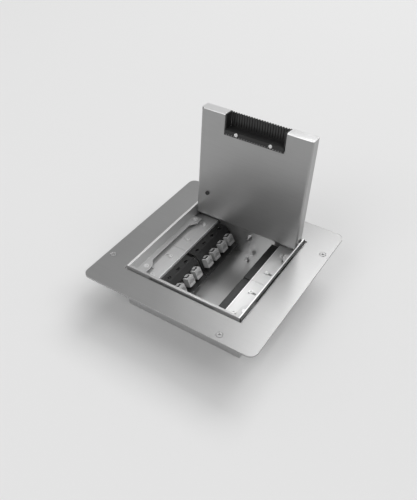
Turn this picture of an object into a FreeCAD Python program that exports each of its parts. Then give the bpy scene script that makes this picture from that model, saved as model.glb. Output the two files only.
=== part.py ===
"""Floor socket box: a steel box let into a floor, closed by a hinged tray lid with a cable comb.

Frame: millimetres, +Z up, +Y towards the hinge side.  The origin is the centre of the opening,
on the top face of the trim flange, which is level with the finished floor.  The lid is drawn
closed and then turned about its hinge to its rest pose, standing open.
"""
import FreeCAD, Part
import math
import os

from FreeCAD import Placement, Rotation, Vector

os.makedirs("parts", exist_ok=True)
doc = FreeCAD.newDocument("floor_socket_box")

# ------------------------------------------------------------------ driving dimensions
SIZES = {
    # trim flange on the floor
    "flange_width": 45.5, "flange_thickness": 3, "flange_corner": 12, "opening_margin": 1,
    "flange_screw_edge": 11.3, "flange_screw_corner": 60.3,
    # steel box in the floor
    "frame_box_gap": 0.5, "box_bottom": 79, "box_sheet": 1.5, "rim_inset": 4,
    "entry_bore": 25, "entry_height": 21, "knockout_inset": 33.5,
    "base_hole_spacing": 150, "base_hole": 6,
    "earth_hole": 5.04, "earth_drop": 39, "earth_side": 5, "earth_inset": 13,
    # levelling frame
    "frame_sheet": 2, "frame_top": 4.5, "frame_lip": 4, "lid_recess": 1.3,
    "outlet_margin": 5.5, "ledge_width": 7.5, "ledge_sheet": 2,
    "ledge_tab": 16, "tab_lead": 17.7, "tab_slope": 12, "ledge_rear_gap": 20,
    "rear_wall_drop": 9.3, "rear_wall_margin": 1, "corner_angle_sheet": 1.5,
    "level_screw_inset": 8.5, "level_screw_corner": 28.3,
    # hinge
    "lid_open_angle": 95.5, "hinge_inset": 4.4, "hinge_depth": 7.3, "hinge_pin": 4,
    # lid tray, as it lies closed
    "lid_width": 191, "lid_side_gap": 2.5, "lid_front_gap": 2.5, "lid_rear_gap": 0.5,
    "lid_depth": 18, "lid_sheet": 1.5, "lid_rest_gap": 0.2, "lid_bend": 3, "stiffener_sheet": 3,
    "lid_screw_inset": 19.8, "lid_screw_back": 44.8,
    # cable outlet
    "notch_width": 105, "notch_length": 30, "finger_count": 22, "finger_gap": 0.7,
    "finger_thickness": 3,
    # socket units
    "plate_drop": 6, "plate_side_gap": 15.5, "plate_width": 25.5, "plate_sheet": 1.5, "plate_leg": 5,
    "unit_start": 3, "unit_end_gap": 5, "plate_screw_inset": 14, "plate_screw_spacing": 50,
    "rail_width": 34, "rail_sheet": 2,
    "carrier_sheet": 1.5, "strip_width": 15, "socket_tilt": 21.5,
    "socket_gap": 2.9, "jack_gap": 6.9, "jack_width": 14.4, "jack_height": 15.6,
}

sheet = doc.addObject("Spreadsheet::Sheet", "Sizes")
for row, (alias, value) in enumerate(SIZES.items(), start=1):
    sheet.set(f"A{row}", alias)
    sheet.set(f"B{row}", str(value))
    sheet.setAlias(f"B{row}", alias)
doc.recompute()


class Size:
    """A length worked out from the sheet: its value and the expression that gives it."""

    def __init__(self, text, value):
        self.text = text
        self.value = value

    def joined(self, other, sign, value):
        other = as_size(other)
        return Size(f"({self.text} {sign} {other.text})", value(self.value, other.value))

    def __add__(self, other):
        return self.joined(other, "+", lambda a, b: a + b)

    def __sub__(self, other):
        return self.joined(other, "-", lambda a, b: a - b)

    def __mul__(self, other):
        return self.joined(other, "*", lambda a, b: a * b)

    def __truediv__(self, other):
        return self.joined(other, "/", lambda a, b: a / b)

    def __radd__(self, other):
        return as_size(other) + self

    def __rsub__(self, other):
        return as_size(other) - self

    def __rmul__(self, other):
        return as_size(other) * self

    def __neg__(self):
        return Size(f"(0 - {self.text})", -self.value)

    def __float__(self):
        return float(self.value)


def as_size(value):
    return value if isinstance(value, Size) else Size(repr(float(value)), float(value))


def size(alias):
    return Size(f"Sizes.{alias}", float(sheet.get(alias)))


def vector(x, y, z):
    return Vector(float(x), float(y), float(z))


def bind(thing, path, length):
    thing.setExpression(path, as_size(length).text)


# ------------------------------------------------------------------ building blocks
AXES = {"XY": ("X", "Y"), "XZ": ("X", "Z"), "YZ": ("Y", "Z")}


def new_body(name):
    body = doc.addObject("PartDesign::Body", name)
    body.Label = name
    body.AllowCompound = True
    return body


def new_sketch(body, plane, level):
    """A sketch on the body's own plane, moved along that plane's normal to the level."""
    sketch = body.newObject("Sketcher::SketchObject", f"{body.Name}_sketch")
    base = next(f for f in body.Origin.OriginFeatures if f.Role == f"{plane}_Plane")
    sketch.AttachmentSupport = [(base, "")]
    sketch.MapMode = "FlatFace"
    level = as_size(level)
    # The XZ plane's normal is -Y, so its level is turned round here.
    level = -level if plane == "XZ" else level
    sketch.AttachmentOffset = Placement(vector(0, 0, level), Rotation())
    bind(sketch, "AttachmentOffset.Base.z", level)
    return sketch


def pin_point(sketch, piece, end, spot):
    """Holds one end of a sketch line at a place given by two sizes."""
    import Sketcher
    for kind, length in zip(("DistanceX", "DistanceY"), spot):
        index = sketch.addConstraint(Sketcher.Constraint(kind, -1, 1, piece, end, float(length)))
        bind(sketch, f"Constraints[{index}]", length)


def draw_outline(sketch, corners):
    """A closed run of straight lines through corners, each held by two sizes."""
    import Sketcher
    first = sketch.GeometryCount
    count = len(corners)
    for number, corner in enumerate(corners):
        following = corners[(number + 1) % count]
        line = Part.LineSegment(vector(*corner, 0), vector(*following, 0))
        sketch.addGeometry(line, False)
    for number in range(count):
        after = first + (number + 1) % count
        sketch.addConstraint(Sketcher.Constraint("Coincident", first + number, 2, after, 1))
        pin_point(sketch, first + number, 1, corners[number])


def draw_circle(sketch, spot, diameter):
    import Sketcher
    circle = Part.Circle(vector(*spot, 0), Vector(0, 0, 1), float(diameter) / 2)
    piece = sketch.addGeometry(circle, False)
    pin_point(sketch, piece, 3, spot)
    index = sketch.addConstraint(Sketcher.Constraint("Diameter", piece, float(diameter)))
    bind(sketch, f"Constraints[{index}]", diameter)


def oval(along, across, length, width):
    """A slot with two round ends, its long side along the second direction."""
    radius = width / 2
    reach = length / 2 - radius
    turns = [math.pi * k / 4 for k in range(5)]
    far = [(along + radius * math.cos(turn), across + reach + radius * math.sin(turn)) for turn in turns]
    near_end = [(along - radius * math.cos(turn), across - reach - radius * math.sin(turn)) for turn in turns]
    return far + near_end


def rectangle(left, right, near, far):
    return [(left, near), (right, near), (right, far), (left, far)]


def pad(body, plane, start, end, *outlines, circles=()):
    """Adds material between two levels along the plane's normal (X, Y or Z)."""
    start, end = as_size(start), as_size(end)
    sketch = new_sketch(body, plane, start)
    for corners in outlines:
        draw_outline(sketch, corners)
    for spot, diameter in circles:
        draw_circle(sketch, spot, diameter)
    feature = body.newObject("PartDesign::Pad", f"{body.Name}_pad")
    feature.Profile = sketch
    feature.Reversed = plane == "XZ"
    feature.Length = float(end - start)
    bind(feature, "Length", end - start)
    doc.recompute()
    return feature


def pocket(body, plane, start, end, *outlines, circles=()):
    """Cuts material between two levels along the plane's normal, and checks that it cut."""
    start, end = as_size(start), as_size(end)
    before = body.Shape.Volume
    sketch = new_sketch(body, plane, end)
    for corners in outlines:
        draw_outline(sketch, corners)
    for spot, diameter in circles:
        draw_circle(sketch, spot, diameter)
    feature = body.newObject("PartDesign::Pocket", f"{body.Name}_pocket")
    feature.Profile = sketch
    feature.Reversed = plane == "XZ"
    feature.Length = float(end - start)
    bind(feature, "Length", end - start)
    doc.recompute()
    if body.Shape.Volume > before - 0.01:
        raise RuntimeError(f"a pocket in {body.Label} cuts nothing")
    return feature


def revolve(body, profile):
    """Turns a closed outline, given as (radius, height) corners, about the body's Z axis."""
    sketch = new_sketch(body, "XZ", 0)
    draw_outline(sketch, profile)
    feature = body.newObject("PartDesign::Revolution", f"{body.Name}_turned")
    feature.Profile = sketch
    axis = next(f for f in body.Origin.OriginFeatures if f.Role == "Z_Axis")
    feature.ReferenceAxis = (axis, [""])
    feature.Angle = 360
    doc.recompute()
    return feature


def round_edges(body, radius, wanted):
    """Rounds the edges whose middle point the test picks out."""
    names = []
    for number, edge in enumerate(body.Shape.Edges, start=1):
        middle = edge.valueAt((edge.FirstParameter + edge.LastParameter) / 2)
        if wanted(edge, middle):
            names.append(f"Edge{number}")
    if not names:
        raise RuntimeError(f"no edge to round on {body.Label}")
    rounded = body.Tip
    feature = body.newObject("PartDesign::Fillet", f"{body.Name}_round")
    feature.Base = (rounded, names)
    feature.Radius = float(radius)
    bind(feature, "Radius", radius)
    doc.recompute()
    if "Invalid" in feature.State:
        raise RuntimeError(f"the rounding on {body.Label} failed")


def is_upright(edge):
    box = edge.BoundBox
    return box.ZLength > 0.5 and box.XLength < 0.01 and box.YLength < 0.01


def near(value, target):
    return abs(value - float(target)) < 0.01


def copies(name, pattern, places):
    """One node that holds a separate solid of the pattern at each place."""
    node = doc.addObject("Part::Feature", name)
    node.Label = name
    shapes = []
    for place in places:
        shape = pattern.Shape.copy()
        shape.Placement = place.multiply(pattern.Placement)
        shapes.append(shape)
    node.Shape = Part.makeCompound(shapes)
    patterns.append(pattern)
    return node


def mirrored(name, source, normal):
    """The same piece on the other side of the origin plane with this normal."""
    node = doc.addObject("Part::Mirroring", name)
    node.Label = name
    node.Source = source
    node.Base = Vector(0, 0, 0)
    node.Normal = normal
    doc.recompute()
    return node


def at(x, y, z, turn=None):
    return Placement(vector(x, y, z), turn or Rotation())


patterns = []
lid_nodes = []
X_AXIS, Y_AXIS, Z_AXIS = Vector(1, 0, 0), Vector(0, 1, 0), Vector(0, 0, 1)
UPSIDE_DOWN = Rotation(X_AXIS, 180)

# ------------------------------------------------------------------ levels and half sizes
# Across: the lid sets the frame, the frame sets the box and the box sets the flange.
lid_half = size("lid_width") / 2
frame_inner = lid_half + size("lid_side_gap")
frame_outer = frame_inner + size("frame_sheet")
angle_outer = frame_outer + size("corner_angle_sheet")
box_inner = angle_outer + size("frame_box_gap")
box_half = box_inner + size("box_sheet")
opening_half = box_half + size("opening_margin")
flange_half = opening_half + size("flange_width")
lid_front = frame_inner - size("lid_front_gap")
lid_rear = frame_inner - size("lid_rear_gap")
hinge_back = lid_rear - size("hinge_inset")
level_side = frame_inner - size("level_screw_inset")
level_along = frame_inner - size("level_screw_corner")
notch_half = size("notch_width") / 2 + size("outlet_margin")
rear_wall_half = lid_half + size("rear_wall_margin")
plate_outer = box_inner - size("plate_side_gap")
plate_inner = plate_outer - size("plate_width")
plate_screw_side = plate_inner + size("plate_screw_inset")
rail_inner = box_inner - size("rail_width")
strip_inner = plate_inner - size("strip_width")
unit_end = box_inner - size("unit_end_gap")
unit_middle = (size("unit_start") + unit_end) / 2
jack_pitch = size("jack_width") + size("jack_gap")
socket_pitch = jack_pitch * 2 + size("socket_gap")
lid_screw_side = lid_half - size("lid_screw_inset")
lid_screw_back = lid_rear - size("lid_screw_back")
earth_back = box_inner - size("earth_inset")
# Heights: the frame's top sets the lid, the lid its ledge, and the ledge the socket units.
flange_bottom = -size("flange_thickness")
box_floor = size("box_sheet") - size("box_bottom")
rim_bottom = flange_bottom - size("box_sheet")
entry_height = size("entry_height") - size("box_bottom")
lid_top = size("frame_top") - size("lid_recess")
lid_bottom = lid_top - size("lid_depth")
lid_floor = lid_bottom + size("lid_sheet")
hinge_height = lid_top - size("hinge_depth")
ledge_top = lid_bottom - size("lid_rest_gap")
ledge_bottom = ledge_top - size("ledge_sheet")
plate_top = ledge_bottom - size("plate_drop")
rail_top = plate_top - size("plate_sheet")
rail_bottom = rail_top - size("rail_sheet")
carrier_top = plate_top - size("plate_leg")


# ------------------------------------------------------------------ fasteners
def countersunk_screw(name, thread, head, head_depth, length):
    """Head face at height 0, point below."""
    body = new_body(name)
    radius = as_size(thread) / 2
    rim = as_size(head) / 2
    revolve(body, [(0, 0), (rim, 0), (radius, -as_size(head_depth)),
                   (radius, -as_size(length)), (0, -as_size(length))])
    return body


def pan_screw(name, thread, head, head_height, length):
    """Seat of the head at height 0, shank below."""
    body = new_body(name)
    top = as_size(head_height)
    pad(body, "XY", 0, top, circles=[((0, 0), head)])
    pad(body, "XY", -as_size(length), 0, circles=[((0, 0), thread)])
    return body


def hex_nut(name, thread, across, thickness):
    """Seat at height 0, nut above it."""
    body = new_body(name)
    corner = float(across) / math.sqrt(3)
    hexagon = [(corner * math.cos(math.radians(60 * k)), corner * math.sin(math.radians(60 * k)))
               for k in range(6)]
    pad(body, "XY", 0, thickness, hexagon, circles=[((0, 0), thread)])
    return body


# ------------------------------------------------------------------ trim flange
def pinwheel(height, turn=None):
    """The four flange screw places: one near the end of each side, turned round by quarters."""
    near_edge, along = (float(flange_half - size(name)) for name in ("flange_screw_edge", "flange_screw_corner"))
    spots = []
    for quarter in range(4):
        spin = Rotation(Z_AXIS, 90 * quarter)
        spot = spin.multVec(Vector(-near_edge, -along, 0))
        spots.append(Placement(Vector(spot.x, spot.y, float(height)), turn or Rotation()))
    return spots


def make_flange():
    body = new_body("trim_flange")
    half = flange_half
    opening = opening_half
    pad(body, "XY", flange_bottom, 0, rectangle(-half, half, -half, half))
    round_edges(body, size("flange_corner"), lambda edge, middle: is_upright(edge))
    pocket(body, "XY", flange_bottom, 0, rectangle(-opening, opening, -opening, opening))
    holes = [((place.Base.x, place.Base.y), 5.4) for place in pinwheel(0)]
    pocket(body, "XY", flange_bottom, 0, circles=holes)
    return body


def make_flange_seats():
    """Countersinks for the flange screws, turned as cones and cut from the plate."""
    flange = make_flange()
    flange.Label = "trim_flange_plate"
    cones = []
    for number, place in enumerate(pinwheel(0)):
        cone = doc.addObject("Part::Cone", f"countersink_{number}")
        cone.Radius1, cone.Radius2, cone.Height = 2.8, 5.3, 2.5
        cone.Placement = Placement(place.Base + Vector(0, 0, -2.48), Rotation())
        cones.append(cone)
    group = doc.addObject("Part::MultiFuse", "countersinks")
    group.Shapes = cones
    cut = doc.addObject("Part::Cut", "trim_flange_cut")
    cut.Label = "trim_flange"
    cut.Base = flange
    cut.Tool = group
    doc.recompute()
    return cut


flange = make_flange_seats()
flange_screw = countersunk_screw("flange_screw_pattern", 5, 9.4, 2.5, 13)
flange_screws = copies("flange_screws", flange_screw, pinwheel(-0.1))
flange_nut = hex_nut("flange_nut_pattern", 5.1, 8, 4)
flange_nuts = copies("flange_weld_nuts", flange_nut, pinwheel(rim_bottom, UPSIDE_DOWN))


# ------------------------------------------------------------------ steel box
def make_box_base():
    """One folded sheet: the floor with the front and back walls."""
    body = new_body("box_base")
    bottom = -size("box_bottom")
    section = [(-box_half, bottom), (box_half, bottom), (box_half, rim_bottom),
               (box_inner, rim_bottom), (box_inner, box_floor), (-box_inner, box_floor),
               (-box_inner, rim_bottom), (-box_half, rim_bottom)]
    pad(body, "YZ", -box_inner, box_inner, section)
    place = box_half - size("knockout_inset")
    bore = size("entry_bore")
    height = entry_height
    pocket(body, "XZ", -box_half, -box_inner, circles=[((-place, height), bore), ((place, height), bore)])
    away = size("base_hole_spacing") / 2
    base = [((a * away, b * away), size("base_hole")) for a in (-1, 1) for b in (-1, 1)]
    base.append(((size("earth_side"), earth_back), size("earth_hole")))
    pocket(body, "XY", bottom, box_floor, circles=base)
    pocket(body, "XZ", box_inner, box_half, circles=[((0, -size("earth_drop")), size("earth_hole"))])
    return body


def make_box_side():
    """A side of the box, welded to the ends of the folded sheet, with its cable entry."""
    body = new_body("box_side_right")
    bottom = -size("box_bottom")
    pad(body, "YZ", box_inner, box_half, rectangle(-box_half, box_half, bottom, rim_bottom))
    entry = [((0, entry_height), size("entry_bore") + 3)]
    pocket(body, "YZ", box_inner, box_half, circles=entry)
    return body


def make_box_rim():
    """The flat rim on top of the walls, which the trim flange is screwed to."""
    body = new_body("box_rim")
    half = flange_half - size("rim_inset")
    pad(body, "XY", rim_bottom, flange_bottom, rectangle(-half, half, -half, half))
    pocket(body, "XY", rim_bottom, flange_bottom,
           rectangle(-box_inner, box_inner, -box_inner, box_inner))
    holes = [((place.Base.x, place.Base.y), 5.4) for place in pinwheel(0)]
    pocket(body, "XY", rim_bottom, flange_bottom, circles=holes)
    return body


def make_knockout():
    """A pressed disc that closes a conduit entry, with its prying slot."""
    body = new_body("knockout_pattern")
    width = size("entry_bore") - 0.4
    pad(body, "XY", 0, size("box_sheet"), circles=[((0, 0), width)])
    pocket(body, "XY", size("box_sheet") - 0.6, size("box_sheet"), rectangle(-4, 4, -0.6, 0.6))
    return body


def make_grommet():
    """A rubber ring that lines a cable entry and grips the sheet's edge."""
    body = new_body("grommet_pattern")
    bore = size("entry_bore") / 2 - 3
    groove = size("entry_bore") / 2 + 1.4
    lip = groove + 2
    half = size("box_sheet") / 2
    revolve(body, [(bore, -half - 2), (lip - 1, -half - 2), (lip, -half - 0.1), (groove, -half - 0.1),
                   (groove, half + 0.1), (lip, half + 0.1), (lip - 1, half + 2), (bore, half + 2)])
    return body


box_base = make_box_base()
box_rim = make_box_rim()
box_side_right = make_box_side()
box_side_left = copies("box_side_left", box_side_right, [at(0, 0, 0, Rotation(Z_AXIS, 180))])
wall_middle = float(box_half + box_inner) / 2
grommets = copies("cable_entry_grommets", make_grommet(),
                  [at(side * wall_middle, 0, entry_height, Rotation(Y_AXIS, 90))
                   for side in (-1, 1)])
knockout_x = float(box_half - size("knockout_inset"))
knockouts = copies("conduit_knockouts", make_knockout(),
                   [at(along * knockout_x, -box_inner, entry_height, Rotation(X_AXIS, 90))
                    for along in (-1, 1)])


def make_earth_stud():
    """A threaded stud pressed into the sheet, standing inside the box."""
    body = new_body("earth_stud_pattern")
    sheet_depth = size("box_sheet")
    pad(body, "XY", -sheet_depth, 8, circles=[((0, 0), 5)])
    return body


def earth_places(lift):
    """The earth points on the back wall and on the floor; lift is along each stud."""
    wall = at(0, box_inner - lift, -size("earth_drop"), Rotation(X_AXIS, 90))
    floor = at(size("earth_side"), earth_back, box_floor + lift)
    return [wall, floor]


earth_studs = copies("earth_studs", make_earth_stud(), earth_places(0))
earth_nuts = copies("earth_nuts", hex_nut("earth_nut_pattern", 5.1, 8, 4), earth_places(0))


# ------------------------------------------------------------------ levelling frame
def make_frame():
    body = new_body("levelling_frame")
    top = size("frame_top")
    pad(body, "XY", ledge_bottom, top, rectangle(-frame_outer, frame_outer, -frame_outer, frame_outer))
    pocket(body, "XY", ledge_top, top, rectangle(-frame_inner, frame_inner, -frame_inner, frame_inner))
    edge = frame_inner - size("ledge_width")
    tab = frame_inner - size("ledge_tab")
    start = level_along - size("tab_lead")
    slope = start + size("tab_slope")
    rear = frame_inner - size("ledge_rear_gap")
    window = [(-edge, -start), (-tab, -slope), (-tab, -edge), (tab, -edge), (tab, -slope),
              (edge, -start), (edge, start), (tab, slope), (tab, rear), (frame_inner, rear),
              (frame_inner, frame_inner), (-frame_inner, frame_inner), (-frame_inner, rear),
              (-tab, rear), (-tab, slope), (-edge, start)]
    pocket(body, "XY", ledge_bottom, ledge_top, window)
    lip = frame_inner + size("frame_lip")
    lip_bottom = top - size("frame_sheet")
    pad(body, "XY", lip_bottom, top,
        rectangle(frame_outer, lip, -notch_half, notch_half),
        rectangle(-lip, -frame_outer, -notch_half, notch_half),
        rectangle(-notch_half, notch_half, -lip, -frame_outer))
    # The rear wall is low between the corners, where the lid's rear edge swings down onto it.
    gap_half = rear_wall_half
    pocket(body, "XY", -size("rear_wall_drop"), top,
           rectangle(-gap_half, gap_half, frame_inner, frame_outer))
    side, along = level_side, level_along
    holes = [((a * side, b * along), 5.6) for a in (-1, 1) for b in (-1, 1)]
    pocket(body, "XY", ledge_bottom, ledge_top, circles=holes)
    pin = [((hinge_back, hinge_height), size("hinge_pin") + 0.04)]
    pocket(body, "YZ", -frame_outer, frame_outer, circles=pin)
    return body


def make_frame_seats(frame):
    """Countersinks in the corner tabs, so that the levelling screws lie flush under the lid."""
    frame.Label = "levelling_frame_folded"
    cones = []
    for number, place in enumerate(level_places(ledge_top)):
        cone = doc.addObject("Part::Cone", f"tab_countersink_{number}")
        cone.Radius1, cone.Radius2, cone.Height = 3.0, 4.9, 1.8
        cone.Placement = Placement(place.Base + Vector(0, 0, -1.78), Rotation())
        cones.append(cone)
    group = doc.addObject("Part::MultiFuse", "tab_countersinks")
    group.Shapes = cones
    cut = doc.addObject("Part::Cut", "levelling_frame_cut")
    cut.Label = "levelling_frame"
    cut.Base = frame
    cut.Tool = group
    doc.recompute()
    return cut


def level_places(height, turn=None):
    side, along = float(level_side), float(level_along)
    return [at(a * side, b * along, height, turn) for a in (-1, 1) for b in (-1, 1)]


def make_corner_angle(name, side_end, end):
    """An angle outside one corner of the frame, with an arm along each side of the corner."""
    body = new_body(name)
    corners = [(end, frame_outer), (frame_outer, frame_outer), (frame_outer, side_end),
               (angle_outer, side_end), (angle_outer, angle_outer), (end, angle_outer)]
    pad(body, "XY", ledge_bottom, size("frame_top"), corners)
    return body


frame = make_frame_seats(make_frame())
front_angle = make_corner_angle("front_angle_pattern", notch_half, notch_half)
front_angles = copies("frame_corner_angles_front", front_angle,
                      [at(0, 0, 0, Rotation(Z_AXIS, 180)), at(0, 0, 0, Rotation(Z_AXIS, -90))])
rear_angle = make_corner_angle("frame_corner_angle_rear_right", notch_half,
                               rear_wall_half + 0.5)
pocket(rear_angle, "YZ", frame_outer, angle_outer,
       circles=[((hinge_back, hinge_height), size("hinge_pin") + 0.04)])
rear_angle_left = mirrored("frame_corner_angle_rear_left", rear_angle, X_AXIS)
level_screw = countersunk_screw("level_screw_pattern", 5, 8.8, 1.8, 24)
level_screws = copies("levelling_screws", level_screw, level_places(ledge_top - 0.05))
rail_nut = hex_nut("rail_nut_pattern", 5.1, 8, 4)
rail_nuts = copies("levelling_nuts", rail_nut, level_places(rail_bottom, UPSIDE_DOWN))


# ------------------------------------------------------------------ support rails
def make_rail():
    body = new_body("support_rail_right")
    length = unit_end
    upright = box_inner - size("rail_sheet")
    leg_bottom = rail_bottom - 10
    section = [(rail_inner, rail_bottom), (upright, rail_bottom), (upright, leg_bottom),
               (box_inner, leg_bottom), (box_inner, rail_top), (rail_inner, rail_top)]
    pad(body, "XZ", -length, length, section)
    side, along = level_side, level_along
    holes = [((side, b * along), 5.4) for b in (-1, 1)]
    holes += [((plate_screw_side, b * y), 3.3) for b in (-1, 1) for y in plate_screw_rows()]
    pocket(body, "XY", rail_bottom, rail_top, circles=holes)
    return body


def plate_screw_rows():
    """Distance of a unit's two screws from the middle of the box."""
    middle = unit_middle
    half = size("plate_screw_spacing") / 2
    return (middle - half, middle + half)


rail_right = make_rail()
rail_left = mirrored("support_rail_left", rail_right, X_AXIS)


# ------------------------------------------------------------------ socket units
def make_plate():
    """The steel plate that carries one unit, folded down along its inner edge and slotted."""
    body = new_body("mounting_plate_right_back")
    start = size("unit_start")
    end = unit_end
    inner = plate_inner
    fold = inner + size("plate_sheet")
    section = [(inner, carrier_top), (fold, carrier_top), (fold, rail_top),
               (plate_outer, rail_top), (plate_outer, plate_top), (inner, plate_top)]
    pad(body, "XZ", start, end, section)
    screw = plate_screw_side
    slots = [rectangle(screw - 2.25, screw + 9, y - 2.25, y + 2.25) for y in plate_screw_rows()]
    pocket(body, "XY", rail_top, plate_top, *slots)
    clear = level_side - 8
    along = level_along
    cut_out = rectangle(clear, plate_outer, along - 7, along + 7)
    pocket(body, "XY", rail_top, plate_top, cut_out)
    return body


def carrier_face():
    """Top and bottom of the tilted socket face: the sloped web starts under the strip."""
    tilt = math.radians(float(size("socket_tilt")))
    web = 7.5
    face_length = 23.0
    top = (strip_inner - web, carrier_top - web)
    bottom = (top[0] - face_length * math.sin(tilt), top[1] - face_length * math.cos(tilt))
    return top, bottom


def make_carrier():
    """A folded carrier: strip under the plate, sloped web, tilted socket face and foot."""
    body = new_body("socket_carrier_right_back")
    start = size("unit_start")
    end = unit_end
    face_top, face_bottom = carrier_face()
    strip_outer = rail_inner - 1.5
    foot = 11
    run = [(strip_outer, carrier_top), (strip_inner, carrier_top), face_top, face_bottom,
           (face_bottom[0] - foot, face_bottom[1])]
    thick = size("carrier_sheet")
    # The folded strip is drawn once and shifted behind itself by its thickness.
    back = [(x + thick, z - thick) for x, z in reversed(run)]
    back[0] = (run[-1][0], back[0][1])
    back[-1] = (run[0][0], back[-1][1])
    pad(body, "XZ", start, end, run + back)
    slots = []
    for y in jack_rows():
        middle = strip_inner + 5.5
        slots.append(oval(middle, y, 7.6, 3.6))
    pocket(body, "XY", carrier_top - thick, carrier_top, *slots)
    return body


def jack_rows():
    """Distance of the four jacks of a unit from the middle of the box."""
    middle = unit_middle
    rows = []
    for group in (-1, 1):
        centre = middle + group * (socket_pitch / 2)
        for side in (-1, 1):
            rows.append(centre + side * (jack_pitch / 2))
    return rows


def jack_placement(y):
    """Origin in the middle of the jack's front face, X out of the face, Z up along it."""
    tilt = float(size("socket_tilt"))
    (top_x, top_z), (bottom_x, bottom_z) = carrier_face()
    lean = Rotation(Y_AXIS, -tilt)
    out = Rotation(Z_AXIS, 180)
    turn = out.multiply(lean)
    front = turn.multVec(Vector(1, 0, 0))
    stand_out = 10.0
    middle = Vector(float(top_x + bottom_x) / 2, float(y), float(top_z + bottom_z) / 2)
    upward = turn.multVec(Vector(0, 0, 1))
    spot = middle + front * stand_out + upward * 1.2
    return Placement(spot, turn)


def make_window():
    """The tool that cuts one jack's window through the carrier's face."""
    body = new_body("window_pattern")
    half_y = size("jack_width") / 2 + 0.25
    half_z = size("jack_height") / 2 + 0.25
    pad(body, "YZ", -16, -4, rectangle(-half_y, half_y, -half_z, half_z))
    return body


PORT = [(-5.9, -3.6), (-5.9, 1.6), (-3.1, 1.6), (-3.1, 3.4), (3.1, 3.4), (3.1, 1.6), (5.9, 1.6),
        (5.9, -3.6)]


def make_jack():
    """A keystone jack: block, stepped port, latch above and wire guide behind."""
    body = new_body("jack_pattern")
    half_y = size("jack_width") / 2
    half_z = size("jack_height") / 2
    pad(body, "YZ", -28, 0, rectangle(-half_y, half_y, -half_z, half_z))
    pocket(body, "YZ", -12, 0, PORT)
    pad(body, "YZ", -9.6, -6.6, rectangle(-3.6, 3.6, half_z - 0.2, half_z + 2.2))
    return body


def make_contacts():
    """The row of spring wires and the strip that holds them, inside the port."""
    body = new_body("contact_pattern")
    pad(body, "YZ", -12, -11, rectangle(-5, 5, -3.4, -0.6))
    pad(body, "YZ", -11, -3, rectangle(-4.2, 4.2, -3.2, -2.7))
    return body


def make_terminals():
    """The slotted terminal block that grips the wires at the back of a jack."""
    body = new_body("terminal_pattern")
    pad(body, "YZ", -34, -28, rectangle(-6.2, 6.2, -6.8, 6.8))
    slits = [rectangle(y - 0.5, y + 0.5, -6.8, 6.8) for y in (-3, 0, 3)]
    pocket(body, "YZ", -34, -30, *slits)
    return body


def make_dust_plug():
    """A push-in plug that keeps dust out of an unused port."""
    body = new_body("dust_plug_pattern")
    inset = 0.12
    shape = [(y - math.copysign(inset, y), z - (inset if z > 0 else -inset)) for y, z in PORT]
    pad(body, "YZ", -2.6, -0.9, shape)
    return body


def place_unit(name, source, mirrors):
    """The other three copies of a unit's piece, by mirroring it across the box."""
    right_front = mirrored(f"{name}_right_front", source, Y_AXIS)
    left_back = mirrored(f"{name}_left_back", source, X_AXIS)
    left_front = mirrored(f"{name}_left_front", right_front, X_AXIS)
    mirrors += [source, right_front, left_back, left_front]


unit_nodes = []
place_unit("mounting_plate", make_plate(), unit_nodes)

folded = make_carrier()
folded.Label = "socket_carrier_folded"
window = make_window()
window_group = doc.addObject("Part::Feature", "window_tools")
window_group.Shape = Part.makeCompound([window.Shape.transformGeometry(jack_placement(y).toMatrix())
                                        for y in jack_rows()])
carrier = doc.addObject("Part::Cut", "carrier_right_back")
carrier.Label = "socket_carrier_right_back"
carrier.Base = folded
carrier.Tool = window_group
doc.recompute()
place_unit("socket_carrier", carrier, unit_nodes)

jack_places = [jack_placement(y) for y in jack_rows()]
for kind, pattern in (("data_jacks", make_jack()), ("jack_contacts", make_contacts()),
                      ("jack_terminals", make_terminals()), ("port_dust_plugs", make_dust_plug())):
    place_unit(kind, copies(f"{kind}_right_back", pattern, jack_places), unit_nodes)

plate_screw = pan_screw("plate_screw_pattern", 3.3, 7, 2.4, 7)
plate_rows = [float(row) for row in plate_screw_rows()]
plate_x = float(plate_screw_side)
plate_screws = copies("plate_screws", plate_screw,
                      [at(a * plate_x, b * y, plate_top) for a in (-1, 1) for b in (-1, 1)
                       for y in plate_rows])


# ------------------------------------------------------------------ hinge, on the frame
def make_hinge_pin():
    """A pin riveted flush in the frame, with its head inside the lid: it runs inwards."""
    body = new_body("hinge_pin_pattern")
    reach = angle_outer - lid_half + size("lid_sheet") + 0.2
    pad(body, "XY", 0, reach, circles=[((0, 0), size("hinge_pin"))])
    pad(body, "XY", reach, reach + 1, circles=[((0, 0), size("hinge_pin") + 1.6)])
    return body


def hinge_places(x):
    back, height = float(hinge_back), float(hinge_height)
    return [at(float(x), back, height, Rotation(Y_AXIS, -90)),
            at(-float(x), back, height, Rotation(Y_AXIS, 90))]


def ring(name, start, end, outside, bore):
    body = new_body(name)
    pad(body, "XY", start, end, circles=[((0, 0), outside), ((0, 0), bore)])
    return body


hinge_pins = copies("hinge_pins", make_hinge_pin(), hinge_places(angle_outer))
side_gap = frame_inner - lid_half
hinge_washers = copies("hinge_washers", ring("washer_pattern", 0, side_gap - 0.15, 9, 4.04),
                       hinge_places(frame_inner))


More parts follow.
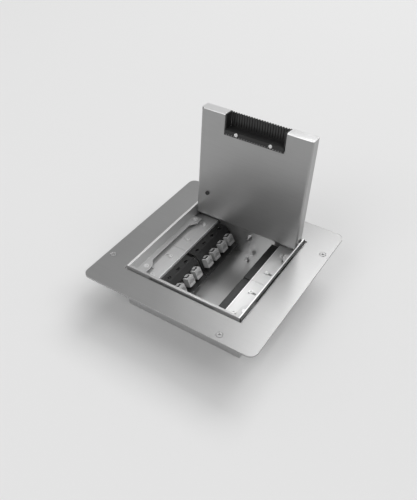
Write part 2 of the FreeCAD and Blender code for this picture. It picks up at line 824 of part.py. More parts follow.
# ------------------------------------------------------------------ lid, drawn closed
def make_lid_tray():
    body = new_body("lid_tray")
    front, rear = -lid_front, lid_rear
    thick = size("lid_sheet")
    pad(body, "XY", lid_bottom, lid_top, rectangle(-lid_half, lid_half, front, rear))
    round_edges(body, size("lid_bend"),
                lambda edge, middle: near(middle.z, lid_bottom) and edge.BoundBox.ZLength < 0.01)
    pocket(body, "XY", lid_floor, lid_top,
           rectangle(-lid_half + thick, lid_half - thick, front + thick, rear - thick))
    round_edges(body, size("lid_bend") - thick,
                lambda edge, middle: near(middle.z, lid_floor) and edge.BoundBox.ZLength < 0.01)
    # The rear edge is eased, so that it clears the box as the lid swings.
    ease = 0.8
    pocket(body, "YZ", -lid_half, lid_half,
           [(rear - ease, lid_top), (rear, lid_top - ease), (rear, lid_top)])
    half = size("notch_width") / 2
    pocket(body, "XY", lid_bottom, lid_top, rectangle(-half, half, front, front + size("notch_length")))
    # A small round relief at each corner lets the four walls fold up without tearing.
    inset = size("lid_bend") * 0.6
    corners = [((x, y), 2.6) for x in (-lid_half + inset, lid_half - inset)
               for y in (front + inset, rear - inset)]
    pocket(body, "XY", lid_bottom, lid_bottom + 3.2, circles=corners)
    pin = [((hinge_back, hinge_height), size("hinge_pin") + 0.1)]
    pocket(body, "YZ", -lid_half, lid_half, circles=pin)
    screw = [((-lid_screw_side, lid_screw_back), 4.2)]
    pocket(body, "XY", lid_bottom, lid_floor, circles=screw)
    return body


def make_lid_stiffener():
    """A flat plate welded inside the tray, under the floor covering, to carry a footstep."""
    body = new_body("lid_stiffening_plate")
    half = lid_half - size("lid_sheet") - size("lid_bend")
    front = outlet_rows()["block_rear"] + 1
    rear = lid_rear - size("lid_sheet") - size("lid_bend")
    top = lid_floor + size("stiffener_sheet")
    spot = (-lid_screw_side, lid_screw_back)
    pad(body, "XY", lid_floor, top, rectangle(-half, half, front, rear), circles=[(spot, 11)])
    return body


def outlet_rows():
    """Places along the lid for the cable outlet, from the notch's inner edge forwards."""
    edge = size("notch_length") - lid_front
    return {"edge": edge, "block_rear": edge + 8, "block_front": edge - 6,
            "bar_rear": edge + 3, "bar_front": edge - 5.5, "screw": edge - 2.6,
            "tips": 0.4 - lid_front}


def make_outlet_housing():
    """The moulded holder in the notch: a stepped block across it and a cheek at each end."""
    body = new_body("outlet_housing")
    rows = outlet_rows()
    half = size("notch_width") / 2 - 0.1
    cheek = half - 2.4
    comb_bottom = lid_top - size("finger_thickness")
    block = [(rows["block_front"], lid_bottom), (rows["edge"] - 0.1, lid_bottom),
             (rows["edge"] - 0.1, lid_floor), (rows["block_rear"], lid_floor),
             (rows["block_rear"], comb_bottom), (rows["block_front"], comb_bottom)]
    pad(body, "YZ", -half, half, block)
    front = 0.3 - lid_front
    pad(body, "XY", lid_bottom, lid_top,
        rectangle(-half, -cheek, front, rows["block_front"]),
        rectangle(cheek, half, front, rows["block_front"]))
    holes = [((side * clamp_screw_x, rows["screw"]), 3.2) for side in (-1, 1)]
    pocket(body, "XY", lid_bottom, lid_bottom + 8, circles=holes)
    return body


def make_comb():
    """A flexible comb: one strip held across the block, cut into fingers with round tips."""
    body = new_body("cable_comb")
    rows = outlet_rows()
    half = size("notch_width") / 2 - 3
    bottom = lid_top - size("finger_thickness")
    root = rows["block_front"] - 2
    pad(body, "XY", bottom, lid_top, rectangle(-half, half, root, rows["block_rear"]))
    count = int(float(size("finger_count")))
    pitch = half * 2 / count
    width = pitch - size("finger_gap")
    radius = width / 2
    fingers = []
    for number in range(count):
        middle = -half + pitch * (number + 0.5)
        left, right = middle - radius, middle + radius
        tip = rows["tips"]
        shoulder = tip + radius * 0.6
        fingers.append([(left, root), (left, shoulder), (middle - radius * 0.45, tip),
                        (middle + radius * 0.45, tip), (right, shoulder), (right, root)])
    pad(body, "XY", bottom, lid_top, *fingers)
    return body


def make_clamp_bar():
    """The bar under the lid that clamps the comb's holder."""
    body = new_body("clamp_bar")
    rows = outlet_rows()
    half = size("notch_width") / 2 - 1
    thick = 2
    pad(body, "XY", lid_bottom - thick, lid_bottom, rectangle(-half, half, rows["bar_front"], rows["bar_rear"]))
    holes = [((side * clamp_screw_x, rows["screw"]), 3.2) for side in (-1, 1)]
    pocket(body, "XY", lid_bottom - thick, lid_bottom, circles=holes)
    return body


clamp_screw_x = 29.75
tray = make_lid_tray()
lid_nodes.append(tray)
lid_nodes.append(make_lid_stiffener())
housing = make_outlet_housing()
lid_nodes.append(housing)
lid_nodes.append(make_comb())
lid_nodes.append(make_clamp_bar())
clamp_screw = pan_screw("clamp_screw_pattern", 3, 5.6, 1.8, 9)
screw_row = float(outlet_rows()["screw"])
lid_nodes.append(copies("clamp_screws", clamp_screw,
                        [at(side * clamp_screw_x, screw_row, lid_bottom - 2, UPSIDE_DOWN)
                         for side in (-1, 1)]))
lid_screw = pan_screw("lid_screw_pattern", 4, 7, 2.4, 5.5)
lid_spot = (-float(lid_screw_side), float(lid_screw_back))
lid_nodes.append(copies("lid_earth_screw", lid_screw, [at(*lid_spot, lid_bottom, UPSIDE_DOWN)]))
lid_nut = hex_nut("lid_nut_pattern", 4.05, 7, 3.2)
lid_nodes.append(copies("lid_earth_nut", lid_nut, [at(*lid_spot, lid_floor)]))

doc.recompute()

# ------------------------------------------------------------------ open the lid and write the files
hinge_point = vector(0, hinge_back, hinge_height)
opening = Placement(Vector(0, 0, 0), Rotation(X_AXIS, -float(size("lid_open_angle"))), hinge_point)

NODES = [flange, flange_screws, flange_nuts, box_base, box_rim, box_side_right, box_side_left,
         grommets, knockouts, earth_studs, earth_nuts, frame, front_angles, rear_angle, rear_angle_left, level_screws, rail_nuts,
         rail_right, rail_left, plate_screws, hinge_pins, hinge_washers]
NODES += unit_nodes + lid_nodes

for thing in doc.Objects:
    if {"Invalid", "Error"} & set(thing.State):
        raise RuntimeError(f"{thing.Label} failed: {thing.State}")

triangles = 0
for node in NODES:
    shape = node.Shape.copy()
    if node in lid_nodes:
        shape.Placement = opening.multiply(shape.Placement)
    if shape.isNull() or not shape.isValid() or not shape.Solids:
        raise RuntimeError(f"{node.Label} has no sound shape")
    shape.exportStep(f"parts/{node.Label}.step")
    triangles += len(shape.tessellate(0.2)[1])
print(len(NODES), "nodes", triangles, "triangles")
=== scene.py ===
"""Looks of the floor socket box: satin and brushed steel, black carriers, grey data jacks.

X runs to the right and Y to the hinge. Sizes are in millimetres, and those of the studio in metres.
"""
import math

import bmesh
import bpy
from mathutils import Matrix, Vector


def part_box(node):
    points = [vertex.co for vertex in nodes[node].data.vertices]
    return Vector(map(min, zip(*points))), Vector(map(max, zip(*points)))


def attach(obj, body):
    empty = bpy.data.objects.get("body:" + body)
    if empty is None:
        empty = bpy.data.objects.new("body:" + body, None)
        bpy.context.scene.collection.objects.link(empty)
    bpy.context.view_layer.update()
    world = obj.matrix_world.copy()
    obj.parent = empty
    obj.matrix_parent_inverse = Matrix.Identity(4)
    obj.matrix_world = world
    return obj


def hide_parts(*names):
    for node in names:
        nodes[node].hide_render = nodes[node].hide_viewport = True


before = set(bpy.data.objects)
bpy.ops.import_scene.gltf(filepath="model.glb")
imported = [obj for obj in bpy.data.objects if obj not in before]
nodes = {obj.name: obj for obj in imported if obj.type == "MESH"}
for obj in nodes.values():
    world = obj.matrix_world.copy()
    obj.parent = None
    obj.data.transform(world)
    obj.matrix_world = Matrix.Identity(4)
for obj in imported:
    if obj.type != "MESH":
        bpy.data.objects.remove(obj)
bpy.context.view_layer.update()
scene = bpy.context.scene

MM = 0.001
X, Z = 0, 2                       # the axes that masks look along
SIDES = (-1, 1)


# ------------------------------------------------------------------ shader helpers
MIX_FACTOR, MIX_LOW, MIX_HIGH, MIX_COLOUR = 0, 6, 7, 2    # sockets of a Mix node for colours
MASK_EDGE = 0.5                                           # width of a mask's soft edge
EDGE_SAMPLES = 6


def grey(level):
    return (level, level, level, 1)


class Signal:
    """A shader value or colour that adds its own nodes when it is used in an expression."""

    def __init__(self, tree, socket):
        self.tree = tree
        self.socket = socket

    def _join(self, operation, a, b):
        node = self.tree.nodes.new("ShaderNodeMath")
        node.operation = operation
        for socket, value in zip(node.inputs, (a, b)):
            feed(self.tree, socket, value)
        return Signal(self.tree, node.outputs[0])

    def __add__(self, other):
        return self._join("ADD", self, other)

    def __radd__(self, other):
        return self._join("ADD", other, self)

    def __sub__(self, other):
        return self._join("SUBTRACT", self, other)

    def __rsub__(self, other):
        return self._join("SUBTRACT", other, self)

    def __mul__(self, other):
        return self._join("MULTIPLY", self, other)

    def __rmul__(self, other):
        return self._join("MULTIPLY", other, self)

    def without_sign(self):
        return self._join("ABSOLUTE", self, 0.0)

    def clipped(self):
        return self._join("MINIMUM", self._join("MAXIMUM", self, 0.0), 1.0)

    def beyond(self, distance):
        """A mask that is 1 where the value is over a distance, and 0 a soft edge under it."""
        return ((self - distance) * (1 / MASK_EDGE) + 1.0).clipped()


def feed(tree, socket, value):
    """Link a signal to a socket, or set a plain value on it."""
    if isinstance(value, Signal):
        tree.links.new(value.socket, socket)
    else:
        socket.default_value = value


class Finish:
    """A material with one Principled shader, and the nodes that feed it."""

    def __init__(self, name):
        self.material = bpy.data.materials.new(name)
        self.material.use_nodes = True
        self.tree = self.material.node_tree
        self.tree.nodes.clear()
        surface = self.add("ShaderNodeBsdfPrincipled", {}, {})
        self.shader = surface.socket.node
        self.add("ShaderNodeOutputMaterial", {}, {"Surface": surface}, None)

    def add(self, kind, settings, sockets, output=0):
        """A node: its settings come first, then the values or links of its sockets."""
        node = self.tree.nodes.new(kind)
        for key, value in settings.items():
            setattr(node, key, value)
        for key, value in sockets.items():
            feed(self.tree, node.inputs[key], value)
        return None if output is None else Signal(self.tree, node.outputs[output])

    def drive(self, name, value):
        feed(self.tree, self.shader.inputs[name], value)

    def spot(self):
        """Where a point lies from the object's origin, in metres."""
        return self.add("ShaderNodeTexCoord", {}, {}, "Object")

    def along(self, axis):
        """How far a point lies from the object's origin along an axis, in millimetres."""
        return self.add("ShaderNodeSeparateXYZ", {}, {"Vector": self.spot()}, axis) * (1 / MM)

    def noise(self, scale, detail, stretch=(1, 1, 1)):
        """Noise, drawn out along the axis whose stretch is small."""
        place = self.add("ShaderNodeMapping", {}, {"Vector": self.spot(), "Scale": stretch})
        return self.add("ShaderNodeTexNoise", {},
                        {"Vector": place, "Scale": scale, "Detail": detail})

    def mix(self, factor, low, high):
        """A colour between two others, each plain or varying."""
        return self.add("ShaderNodeMix", {"data_type": "RGBA"},
                        {MIX_FACTOR: factor, MIX_LOW: low, MIX_HIGH: high}, MIX_COLOUR)

    def relief(self, height, strength, depth, edge):
        """A bump of some depth on a surface whose sharp edges are shaded as rounded ones."""
        rounding = self.add("ShaderNodeBevel", {"samples": EDGE_SAMPLES}, {"Radius": edge * MM})
        self.drive("Normal", self.add("ShaderNodeBump", {}, {
            "Height": height, "Strength": strength, "Distance": depth * MM, "Normal": rounding}))


# ------------------------------------------------------------------ finishes
ALONG_X, ALONG_Y, NO_WAY = (0.02, 1, 1), (1, 0.02, 1), (1, 1, 1)
BRUSH_LINES, CLOUD, GRAIN, PATCHES = (900.0, 2.0), (9.0, 3.0), (1600.0, 2.0), (22.0, 2.0)
BRUSH_RELIEF, GRAIN_RELIEF = (0.12, 0.04), (0.2, 0.05)     # strength, and depth in millimetres
SHEEN_SPREAD = 0.06
PLASTIC_EDGE = 0.4

# where the painted highlights and painted shade on the sheet steel start
NOSE_HEIGHT = 182.7
RIM_HEIGHT, RIM_X = 4.4, 98.0
FRAME_OUTSIDE_X = 100.1
FOLD_X = 62.2


def steel(name, level, rough, metallic, brush=NO_WAY, spread=0.05, edge=0.6, parts=()):
    """Sheet steel with fine brush lines along one axis, a faint cloudiness and rounded edges.

    parts are (mask, grey) pairs of painted highlights and painted shade: each mask takes the finish
    and marks where the grey goes.
    """
    finish = Finish(name)
    lines = finish.noise(*BRUSH_LINES, brush)
    cloud = finish.noise(*CLOUD)
    blend = (lines * 0.5 + cloud * 0.5).clipped()
    colour = finish.mix(blend, grey(level - spread), grey(level + spread))
    for mask, shade in parts:
        colour = finish.mix(mask(finish), colour, grey(shade))
    finish.drive("Base Color", colour)
    finish.drive("Roughness", (rough - SHEEN_SPREAD + lines * SHEEN_SPREAD
                               + cloud * SHEEN_SPREAD).clipped())
    finish.drive("Metallic", metallic)
    finish.relief(lines, *BRUSH_RELIEF, edge)
    return finish.material


def plastic(name, level, rough, spread=0.03, coat=0.0):
    """Moulded plastic with a fine spark-eroded grain."""
    finish = Finish(name)
    fine = finish.noise(*GRAIN)
    patches = finish.noise(*PATCHES)
    blend = (fine * 0.5 + patches * 0.5).clipped()
    finish.drive("Base Color", finish.mix(blend, grey(level - spread), grey(level + spread)))
    finish.drive("Roughness", (rough - SHEEN_SPREAD + patches * (2 * SHEEN_SPREAD)).clipped())
    finish.drive("Coat Weight", coat)
    finish.relief(fine, *GRAIN_RELIEF, PLASTIC_EDGE)
    return finish.material


def lid_nose_painted_highlight(finish):
    """A painted highlight, pure white, on the outside of the lid's front wall, which is on top when
    the lid stands open.
    """
    return finish.along(Z).beyond(NOSE_HEIGHT)


def frame_rim_painted_highlight(finish):
    """A painted highlight along the cut edge at the top of the frame's side walls."""
    return finish.along(Z).beyond(RIM_HEIGHT) * finish.along(X).without_sign().beyond(RIM_X)


def frame_gap_painted_shade(finish):
    """Painted shade outside the frame's right-hand wall, in the gap to the flange."""
    return finish.along(X).beyond(FRAME_OUTSIDE_X)


def plate_fold_painted_highlight(finish):
    """A painted highlight on the rounded fold along the inner edge of a mounting plate."""
    return 1.0 - finish.along(X).without_sign().beyond(FOLD_X)


STEELS = {
    "trim_steel": dict(level=0.42, rough=0.33, metallic=0.85, brush=ALONG_X),
    # the frame steel carries a painted highlight along its rim and painted shade outside its
    # right-hand wall
    "frame_steel": dict(level=0.58, rough=0.34, metallic=0.6, brush=ALONG_Y,
                        parts=((frame_rim_painted_highlight, 0.92), (frame_gap_painted_shade, 0.06))),
    # the plate steel carries a painted highlight along its fold
    "plate_steel": dict(level=0.64, rough=0.38, metallic=0.5, brush=ALONG_Y,
                        parts=((plate_fold_painted_highlight, 0.97),)),
    # painted shade: the right-hand support rail is a darker copy of the plate steel, standing in
    # for the shade it lies in
    "rail_steel_painted_shade": dict(level=0.28, rough=0.5, metallic=0.4, brush=ALONG_Y, spread=0.03),
    "box_steel": dict(level=0.56, rough=0.34, metallic=0.8, brush=ALONG_Y),
    # the lid's nose carries a painted highlight in pure white
    "lid_steel": dict(level=0.38, rough=0.32, metallic=0.8, brush=ALONG_X,
                      parts=((lid_nose_painted_highlight, 1.0),)),
    "flange_screw_steel": dict(level=0.45, rough=0.35, metallic=0.6, edge=0.3),
    "screw_steel": dict(level=0.80, rough=0.30, metallic=0.6, spread=0.04, edge=0.3),
    "dark_screw": dict(level=0.05, rough=0.55, metallic=0.2, spread=0.02, edge=0.3),
    "brass": dict(level=0.50, rough=0.3, metallic=1.0, edge=0.2),
}
PLASTICS = {
    "carrier_black": dict(level=0.016, rough=0.42, spread=0.005),
    "outlet_black": dict(level=0.014, rough=0.38, spread=0.004),
    "comb_black": dict(level=0.018, rough=0.36, spread=0.006, coat=0.2),
    "grommet_rubber": dict(level=0.02, rough=0.7, spread=0.006),
    "jack_grey": dict(level=0.44, rough=0.45),
    "plug_grey": dict(level=0.30, rough=0.5),
}
FINISHES = {name: steel(name, **look) for name, look in STEELS.items()}
FINISHES.update((name, plastic(name, **look)) for name, look in PLASTICS.items())

# the pieces of each finish, by how their names start
MADE_OF = {
    "trim_steel": ("trim_flange",),
    "frame_steel": ("levelling_frame", "frame_corner_angle"),
    "plate_steel": ("mounting_plate", "support_rail_left"),
    # the right-hand rail takes the darker steel with painted shade
    "rail_steel_painted_shade": ("support_rail_right",),
    "box_steel": ("box_", "conduit_knockouts", "lid_stiffening_plate"),
    "lid_steel": ("lid_tray",),
    "flange_screw_steel": ("flange_screws",),
    "screw_steel": ("flange_weld_nuts", "levelling_screws", "levelling_nuts", "plate_screws",
                    "hinge_pins", "hinge_washers", "clamp_screws", "lid_earth_nut"),
    "dark_screw": ("lid_earth_screw",),
    "brass": ("earth_studs", "earth_nuts", "jack_contacts"),
    "carrier_black": ("socket_carrier",),
    "outlet_black": ("outlet_housing", "clamp_bar"),
    "comb_black": ("cable_comb",),
    "grommet_rubber": ("cable_entry_grommets",),
    "jack_grey": ("data_jacks", "jack_terminals"),
    "plug_grey": ("port_dust_plugs",),
}


def finish_of(node):
    return next(finish for finish, starts in MADE_OF.items() if node.startswith(starts))


def give(mesh, finish):
    """Give a mesh one finish all over."""
    mesh.materials.clear()
    mesh.materials.append(FINISHES[finish])


for name, piece in nodes.items():
    give(piece.data, finish_of(name))


# ------------------------------------------------------------------ building pieces
HINGE = Vector((0, 93.1, -4.1))
OPENING = math.radians(-95.5)
OPEN_LID = (Matrix.Translation(HINGE) @ Matrix.Rotation(OPENING, 4, "X")
            @ Matrix.Translation(-HINGE))
UPSIDE_DOWN = Matrix.Rotation(math.pi, 4, "X")

CIRCLE_STEPS, CORNER_STEPS, EASE_STEPS = 12, 4, 2
WELD = 2e-6                       # points of a CAD mesh this close are one, in metres
FLAT = 0.001                      # its faces this nearly level are one, in radians
SHARP = math.radians(50)          # only edges over this angle are eased


def at(x, y, z, turn=0.0):
    return Matrix.Translation((x, y, z)) @ Matrix.Rotation(turn, 4, "Z")


def circle(radius):
    """Outline of a circle about the origin."""
    turns = [2 * math.pi * k / CIRCLE_STEPS for k in range(CIRCLE_STEPS)]
    return [(radius * math.cos(turn), radius * math.sin(turn)) for turn in turns]


def rounded(width, depth, radius):
    """Outline of a rectangle with round corners, centred on the origin."""
    points = []
    for quarter in range(4):
        cx = (width / 2 - radius) * (1, -1, -1, 1)[quarter]
        cy = (depth / 2 - radius) * (1, 1, -1, -1)[quarter]
        for k in range(CORNER_STEPS + 1):
            turn = math.pi / 2 * (quarter + k / CORNER_STEPS)
            points.append((cx + radius * math.cos(turn), cy + radius * math.sin(turn)))
    return points


def cross(reach, width):
    """Outline of a cross with arms of one width."""
    w = width / 2
    points = []
    for quarter in range(4):
        for x, y in ((reach, -w), (reach, w), (w, w)):
            for _ in range(quarter):
                x, y = -y, x
            points.append((x, y))
    return points


class Solid:
    """Simple closed solids, drawn in millimetres and gathered in one mesh."""

    def __init__(self):
        self.bm = bmesh.new()

    def skin(self, rings, turn=Matrix()):
        """A closed tube through rings of equally many points, capped at both ends."""
        rows = [[self.bm.verts.new(turn @ Vector(point)) for point in ring] for ring in rings]
        count = len(rows[0])
        for low, high in zip(rows, rows[1:]):
            for k in range(count):
                after = (k + 1) % count
                self.bm.faces.new((low[k], low[after], high[after], high[k]))
        self.bm.faces.new(list(reversed(rows[0])))
        self.bm.faces.new(rows[-1])

    def prism(self, outline, low, high, turn=Matrix(), grow=1.0):
        """An outline in X and Y, drawn from one height to another and scaled on the way."""
        self.skin([[(x, y, low) for x, y in outline],
                   [(x * grow, y * grow, high) for x, y in outline]], turn)

    def mesh(self, name):
        bmesh.ops.recalc_face_normals(self.bm, faces=self.bm.faces)
        mesh = bpy.data.meshes.new(name)
        self.bm.to_mesh(mesh)
        self.bm.free()
        mesh.transform(Matrix.Scale(MM, 4))
        return mesh


def show(name, mesh, finish, body, stands_for=()):
    """Put a piece in the scene, with its finish, on its body."""
    piece = bpy.data.objects.new(name, mesh)
    scene.collection.objects.link(piece)
    give(mesh, finish)
    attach(piece, body)
    if stands_for:
        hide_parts(*stands_for)


def tidied(node):
    """A copy of a CAD piece's mesh in which each flat face is one face."""
    mesh = nodes[node].data.copy()
    work = bmesh.new()
    work.from_mesh(mesh)
    bmesh.ops.remove_doubles(work, verts=work.verts, dist=WELD)
    bmesh.ops.dissolve_limit(work, angle_limit=FLAT, verts=work.verts, edges=work.edges)
    work.to_mesh(mesh)
    work.free()
    return mesh


def detailed(node, body, soften, recess=None):
    """A copy of a CAD piece, with its edges eased and recesses cut in it, stands for it."""
    piece = bpy.data.objects.new("work", tidied(node))
    scene.collection.objects.link(piece)
    if recess:
        tool = bpy.data.objects.new("tool", recess.mesh("tool"))
        scene.collection.objects.link(tool)
        cut = piece.modifiers.new("recess", "BOOLEAN")
        cut.operation, cut.solver, cut.object = "DIFFERENCE", "EXACT", tool
        cut.use_self = True
    ease = piece.modifiers.new("ease", "BEVEL")
    ease.width, ease.segments = soften * MM, EASE_STEPS
    ease.limit_method, ease.angle_limit = "ANGLE", SHARP
    bpy.context.view_layer.update()
    graph = bpy.context.evaluated_depsgraph_get()
    mesh = bpy.data.meshes.new_from_object(piece.evaluated_get(graph))
    bpy.data.objects.remove(piece)
    if recess:
        bpy.data.objects.remove(tool)
    show(node + "_detailed", mesh, finish_of(node), body, [node])


# ------------------------------------------------------------------ screws
# place of a screw's head, and for some how far it is turned
FLANGE_SCREW = (-138.7, -89.7, 0, 0.5)
PLATE_SCREW_X, PLATE_SCREW_ROWS, PLATE_SCREW_Z, PLATE_SCREW_TURN = 75, (25, 75), -20.6, 0.4
LEVEL_SCREW = (89.5, 69.7, -15.05, 0.9)
CLAMP_SCREW = (29.75, -68.1, -18.6)
EARTH_SCREW = (-75.7, 52.7, -17.2, 0.3)

SCREW_EASE = 0.25
OVER_HEAD = 0.6                       # how far the tool of a recess stands out of the head
FOOT_REACH, FOOT_SLIT, CROSS_TAPER = 0.75, 0.8, 1.25
EYE_RADIUS, EYE_DEPTH, EYE_TAPER = 0.55, 0.8, 1.2


def cross_recesses(spots, reach, width, depth):
    """Tapered cross recesses with a round eye; each spot has its Z out of the screw's head."""
    tool = Solid()
    for spot in spots:
        foot = cross(reach * FOOT_REACH, width * FOOT_SLIT)
        tool.prism(foot, -depth, OVER_HEAD, spot, grow=CROSS_TAPER)
        tool.prism(circle(reach * EYE_RADIUS), -depth * EYE_DEPTH, OVER_HEAD, spot, grow=EYE_TAPER)
    return tool


def make_screws():
    quarters = [Matrix.Rotation(math.pi / 2 * k, 4, "Z") for k in range(4)]
    x, y, z, turn = LEVEL_SCREW
    clamp_x, clamp_y, clamp_z = CLAMP_SCREW
    flange = [quarter @ at(*FLANGE_SCREW) for quarter in quarters]
    plate = [at(a * PLATE_SCREW_X, b * row, PLATE_SCREW_Z, PLATE_SCREW_TURN + row)
             for a in SIDES for b in SIDES for row in PLATE_SCREW_ROWS]
    level = [at(a * x, b * y, z, turn) for a in SIDES for b in SIDES]
    clamp = [OPEN_LID @ at(a * clamp_x, clamp_y, clamp_z) @ UPSIDE_DOWN for a in SIDES]
    earth = [OPEN_LID @ at(*EARTH_SCREW) @ UPSIDE_DOWN]
    for node, body, spots, reach, width, depth in (
            ("flange_screws", "box", flange, 2.6, 1.1, 1.6),
            ("plate_screws", "box", plate, 2.3, 1.2, 1.6),
            ("levelling_screws", "frame", level, 2.3, 1.0, 1.5),
            ("clamp_screws", "lid", clamp, 1.0, 0.5, 0.8),
            ("lid_earth_screw", "lid", earth, 2.0, 0.9, 1.4)):
        detailed(node, body, SCREW_EASE, cross_recesses(spots, reach, width, depth))


make_screws()

# ------------------------------------------------------------------ cable outlet
LID_TOP, LID_BOTTOM, NOTCH_EDGE = 3.2, -14.8, -65.5
COMB_HALF, COMB_THICK, COMB_OVERLAP, FINGER_ROOT, FINGER_TIPS = 49.5, 3.0, 8, 0.6, -95.1
STRIP_ROUND, FINGER_WIDTH, FINGER_ROUND, FINGERS = 0.4, 4.3, 1.2, 22
TIP_SHAPE = ((2.2, 1), (1.0, 0.86), (0.3, 0.6), (0, 0.35))      # distance from the tip, width there
TIP_THICK = 0.6                                                 # part of its thickness that stays
FINGER_PITCH = COMB_HALF * 2 / FINGERS
FINGER_MIDDLES = [FINGER_PITCH * (number + 0.5) - COMB_HALF for number in range(FINGERS)]
BEAD, BEAD_FOOT, BEAD_TOP, BEAD_TAPER = (2.2, 1.3, 0.5), -0.3, 0.55, 0.7
BEAD_Y, BAR_THICK = 1.4, 2


def make_comb():
    """Rubber fingers with round tips, growing from one strip."""
    comb = Solid()
    comb.prism(rounded(COMB_HALF * 2, COMB_OVERLAP * 2, STRIP_ROUND), LID_TOP - COMB_THICK,
               LID_TOP, OPEN_LID @ at(0, NOTCH_EDGE, 0))
    root = (NOTCH_EDGE - COMB_OVERLAP + FINGER_ROOT, 1)
    rows = [root] + [(FINGER_TIPS + back, scale) for back, scale in TIP_SHAPE]
    outline = rounded(FINGER_WIDTH, COMB_THICK, FINGER_ROUND)
    core = LID_TOP - COMB_THICK / 2
    for middle in FINGER_MIDDLES:
        comb.skin([[(middle + x * scale, y, core + z * (TIP_THICK + (1 - TIP_THICK) * scale))
                    for x, z in outline] for y, scale in rows], OPEN_LID)
    show("cable_comb_fingers", comb.mesh("cable_comb_fingers"), "comb_black", "lid", ["cable_comb"])


def make_clamp_beads():
    """A row of small beads moulded along the clamp bar, one for each finger."""
    beads = Solid()
    for middle in FINGER_MIDDLES:
        spot = OPEN_LID @ at(middle, NOTCH_EDGE + BEAD_Y, LID_BOTTOM - BAR_THICK) @ UPSIDE_DOWN
        beads.prism(rounded(*BEAD), BEAD_FOOT, BEAD_TOP, spot, grow=BEAD_TAPER)
    show("clamp_bar_beads", beads.mesh("clamp_bar_beads"), "plug_grey", "lid")


make_comb()
detailed("outlet_housing", "lid", soften=0.5)
detailed("clamp_bar", "lid", soften=0.4)
make_clamp_beads()

# ------------------------------------------------------------------ socket units
STRIP_TOP, STRIP_INNER, STRIP_OUTER = -28.0, 46.0, 66.5
SHEET, FOOT_WIDTH, FOOT_BOTTOM, CARRIER_ENDS = 1.5, 9, -58, (3, 97)
UNIT_ROWS, HALF_PITCH = (50 - 33.4, 50 - 12.1, 50 + 12.1, 50 + 33.4), 10.65

# width, depth and corner radius of flat shapes, and from where to where they stand
SLOT, SLOT_X, SLOT_FOOT, SLOT_TOP = (3.6, 7.6, 1.79), 5.5, -0.2, 0.12
COVER, COVER_Z, COVER_THICK, COVER_TAPER = (24, 42, 1.5), -44, 1.5, 0.97
PANEL, PANEL_FOOT, PANEL_TOP, PANEL_TAPER = (17, 34, 1.0), 1.4, 2.1, 0.98
BRIDGE, BRIDGE_FOOT, BRIDGE_TOP = (STRIP_OUTER - STRIP_INNER, 7.6, 0.4), -1.4, -0.1

JACK_TILT = math.radians(21.5)
FACE_TOP, FACE_BOTTOM = Vector((-38.5, 0, -35.5)), Vector((-30.07, 0, -56.9))
LATCH_OUT, LATCH_UP, LATCH_ROUND = 10, 1.2, 0.3
# width, depth, middle in X and Y, foot and top of a latch's two arms and of its bar
LATCH_PARTS = ((5.4, 0.9, -7.0, -3.2, 7.7, 9.2), (5.4, 0.9, -7.0, 3.2, 7.7, 9.2),
               (1.0, 7.3, -4.6, 0, 7.75, 9.25))


def make_blank_carrier(side, name):
    """A carrier with no sockets: strip, upright web and foot, its openings closed by covers."""
    carrier = Solid()
    web, foot = STRIP_INNER + SHEET, STRIP_INNER + FOOT_WIDTH
    section = [(STRIP_OUTER, STRIP_TOP), (STRIP_INNER, STRIP_TOP), (STRIP_INNER, FOOT_BOTTOM),
               (foot, FOOT_BOTTOM), (foot, FOOT_BOTTOM + SHEET), (web, FOOT_BOTTOM + SHEET),
               (web, STRIP_TOP - SHEET), (STRIP_OUTER, STRIP_TOP - SHEET)]
    carrier.skin([[(x, side * y, z) for x, z in section] for y in CARRIER_ENDS])
    for y in UNIT_ROWS:
        spot = at(STRIP_INNER + SLOT_X, side * y, STRIP_TOP)
        carrier.prism(rounded(*SLOT), SLOT_FOOT, SLOT_TOP, spot)
    show("blank_carrier_" + name, carrier.mesh("blank_carrier"), "carrier_black", "box",
         ["socket_carrier_" + name])
    covers = Solid()
    face = Matrix.Translation((STRIP_INNER, 0, 0)) @ Matrix.Rotation(math.radians(-90), 4, "Y")
    for first in UNIT_ROWS[::2]:
        spot = Matrix.Translation((0, side * (first + HALF_PITCH), COVER_Z)) @ face
        covers.prism(rounded(*COVER), 0, COVER_THICK, spot, grow=COVER_TAPER)
        covers.prism(rounded(*PANEL), PANEL_FOOT, PANEL_TOP, spot, grow=PANEL_TAPER)
    if side > 0:                                   # one bridge joins the strips of both carriers
        spot = at((STRIP_OUTER + STRIP_INNER) / 2, 0, STRIP_TOP - SHEET)
        covers.prism(rounded(*BRIDGE), BRIDGE_FOOT, BRIDGE_TOP, spot)
    kinds = ("data_jacks_", "jack_contacts_", "jack_terminals_", "port_dust_plugs_")
    show("blanking_covers_" + name, covers.mesh("blanking_covers"), "outlet_black", "box",
         [kind + name for kind in kinds])


def make_jack_latches():
    """The sprung latch loop on top of each jack, behind the carrier's face."""
    loops = Solid()
    middle = (FACE_TOP + FACE_BOTTOM) / 2
    out = Vector((math.cos(JACK_TILT), 0, math.sin(JACK_TILT)))
    up = Vector((-math.sin(JACK_TILT), 0, math.cos(JACK_TILT)))
    tilt = Matrix(((out.x, 0, up.x, 0), (0, 1, 0, 0), (out.z, 0, up.z, 0), (0, 0, 0, 1)))
    for side in SIDES:
        for y in UNIT_ROWS:
            centre = middle + out * LATCH_OUT + up * LATCH_UP + Vector((0, side * y, 0))
            turn = Matrix.Translation(centre) @ tilt
            for width, depth, across, along, foot, top in LATCH_PARTS:
                loops.prism(rounded(width, depth, LATCH_ROUND), foot, top,
                            turn @ at(across, along, 0))
    show("jack_latches", loops.mesh("jack_latches"), "outlet_black", "box")


make_blank_carrier(-1, "right_front")
make_blank_carrier(1, "right_back")
make_jack_latches()

# ------------------------------------------------------------------ mounting plates
SEAM_REACH, SEAM_HALF = 3.1, 0.25


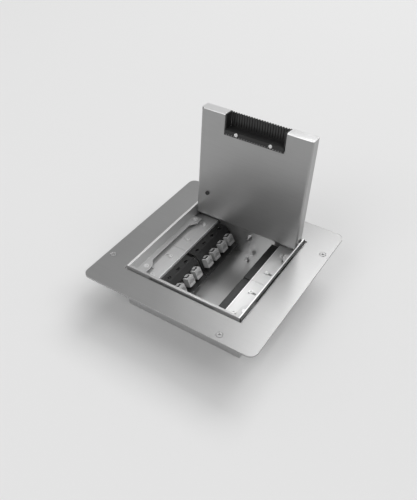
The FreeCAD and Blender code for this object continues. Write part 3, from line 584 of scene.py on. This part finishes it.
def make_plates():
    """The mounting plates, drawn out so that the two of a side meet at the middle of the box."""
    for name in ("left_front", "left_back", "right_front", "right_back"):
        mesh = nodes["mounting_plate_" + name].data.copy()
        for corner in mesh.vertices:
            if abs(corner.co.y) < SEAM_REACH * MM:
                corner.co.y = math.copysign(SEAM_HALF * MM, corner.co.y)
        show("mounting_plate_long_" + name, mesh, "plate_steel", "box", ["mounting_plate_" + name])


make_plates()

# ------------------------------------------------------------------ floor, lights and camera
FLOOR_REACH, FLOOR_GAP, PAPER = 8.0, 0.0001, 0.8
WORLD_LEVEL = 0.38
CAMERA_PLACE, CAMERA_AIM, CAMERA_LENS = (0.3695, -0.5975, 0.6276), (-0.0183, 0.0004, 0), 42.97


def make_floor():
    """A wide sheet of pale paper that the box stands on."""
    mesh = bpy.data.meshes.new("studio_floor")
    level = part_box("box_base")[0].z - FLOOR_GAP
    corners = [(x * FLOOR_REACH, y * FLOOR_REACH, level)
               for x, y in ((-1, -1), (1, -1), (1, 1), (-1, 1))]
    mesh.from_pydata(corners, [], [(0, 1, 2, 3)])
    floor = bpy.data.objects.new("studio_floor", mesh)
    scene.collection.objects.link(floor)
    paper = Finish("studio_paper")
    paper.drive("Base Color", grey(PAPER))
    paper.drive("Roughness", 0.95)
    paper.drive("Specular IOR Level", 0.0)
    mesh.materials.append(paper.material)


def stand(name, data, place, aim):
    """Put a lamp or the camera at its place and turn it to its aim."""
    piece = bpy.data.objects.new(name, data)
    scene.collection.objects.link(piece)
    piece.location = place
    piece.rotation_euler = (Vector(aim) - Vector(place)).to_track_quat("-Z", "Y").to_euler()
    return piece


def make_lamp(name, kind, place, aim, power, **settings):
    data = bpy.data.lights.new(name, kind)
    data.energy = power
    for key, value in settings.items():
        setattr(data, key, value)
    stand(name, data, place, aim)


def make_lights():
    """A grey world, a wide sun, a softbox behind, a fill in front and a spot into the well."""
    world = bpy.data.worlds.new("studio")
    scene.world = world
    world.use_nodes = True
    world.node_tree.nodes["Background"].inputs[0].default_value = grey(WORLD_LEVEL)
    make_lamp("key", "SUN", (1.0, 0.25, 1.7), (0, 0, 0), 0.75, angle=math.radians(40))
    make_lamp("softbox", "AREA", (0.3, 3.4, 4.4), (0.05, 0, 0), 112,
              shape="RECTANGLE", size=3.4, size_y=2.6)
    make_lamp("front_fill", "AREA", (-0.8, -3.2, 3.4), (0, 0, 0), 45,
              shape="RECTANGLE", size=2.5, size_y=2.5)
    make_lamp("well_light", "SPOT", (0.28, 0.34, 0.92), (0.030, -0.055, -0.077), 55,
              spot_size=math.radians(9), spot_blend=1.0, shadow_soft_size=0.06)


def make_camera():
    data = bpy.data.cameras.new("camera")
    data.lens, data.sensor_width, data.clip_start = CAMERA_LENS, 36, 0.01
    scene.camera = stand("camera", data, CAMERA_PLACE, CAMERA_AIM)


make_floor()
make_lights()
make_camera()
scene.view_settings.view_transform = "Standard"
